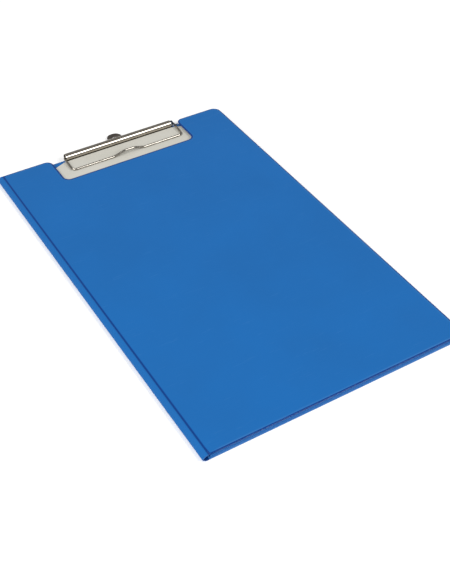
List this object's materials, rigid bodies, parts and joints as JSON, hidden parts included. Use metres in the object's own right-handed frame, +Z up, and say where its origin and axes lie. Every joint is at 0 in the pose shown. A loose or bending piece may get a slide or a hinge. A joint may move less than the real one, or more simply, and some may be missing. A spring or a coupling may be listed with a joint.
{
  "type": "clipboard folder",
  "caption": "Fold-over clipboard folder with PVC-covered board panels, a soft folding spine, a window in the cover, a sprung wire bow clip and a sliding hanging hook.",
  "frame": {"origin": "centre of the closed folder's outline, on its back face, which lies on the table", "axes": "+Y from the bottom edge to the clip, along the length; +X from the spine to the free edge; +Z up out of the cover"},
  "size_m": [0.22, 0.365, 0.0088],
  "materials": {
    "blue_pvc": "satin embossed PVC sheet",
    "pocket_pvc": "satin PVC sheet",
    "grey_board": "raw grey board",
    "lining": "smooth, light grey",
    "nickel_plate": "bright nickel plate",
    "nickel_wire": "bright nickel plate",
    "dark_nickel": "dull plated strip",
    "spring_steel": "blued spring wire",
    "black_plastic": "moulded"
  },
  "bodies": {
    "back_panel": {"back_outer_skin": "blue_pvc", "back_board": "grey_board", "back_inner_skin": "blue_pvc", "lining_sheet": "lining", "clip_base": "nickel_plate", "clip_rivets": "nickel_plate", "barrel_bushes": "black_plastic", "torsion_spring": "spring_steel"},
    "clip_bow": {"wire_bow": "nickel_wire"},
    "hook": {"hanging_hook": "dark_nickel"},
    "spine_lower_half": {"spine_lower": "blue_pvc"},
    "spine_upper_half": {"spine_upper": "blue_pvc"},
    "front_cover": {"cover_outer_skin": "blue_pvc", "cover_board": "grey_board", "cover_inner_skin": "blue_pvc", "cover_pocket": "pocket_pvc"}
  },
  "joints": [
    {"name": "lower_crease", "type": "hinge", "parent": "back_panel", "child": "spine_lower_half", "pos_m": [-0.105, 0, 0.0003], "axis": [0, -1, 0], "range_deg": [0, 57.43]},
    {"name": "spine_fold", "type": "hinge", "parent": "spine_lower_half", "child": "spine_upper_half", "pos_m": [-0.1097, 0, 0.00287], "axis": [0, -1, 0], "range_deg": [0, 245.13]},
    {"name": "cover_crease", "type": "hinge", "parent": "spine_upper_half", "child": "front_cover", "pos_m": [-0.105, 0, 0.00545], "axis": [0, -1, 0], "range_deg": [0, 57.43]},
    {"name": "bow_turn", "type": "hinge", "parent": "back_panel", "child": "clip_bow", "pos_m": [0.0069, 0.173, 0.0056], "axis": [-1, 0, 0], "range_deg": [0, 80], "stiffness_Nm_per_rad": 0.03, "springref_deg": -17.19, "deforming": ["torsion_spring"]},
    {"name": "hook_slide", "type": "slide", "parent": "back_panel", "child": "hook", "axis": [0, -1, 0], "range_m": [0, 0.011]}
  ]
}
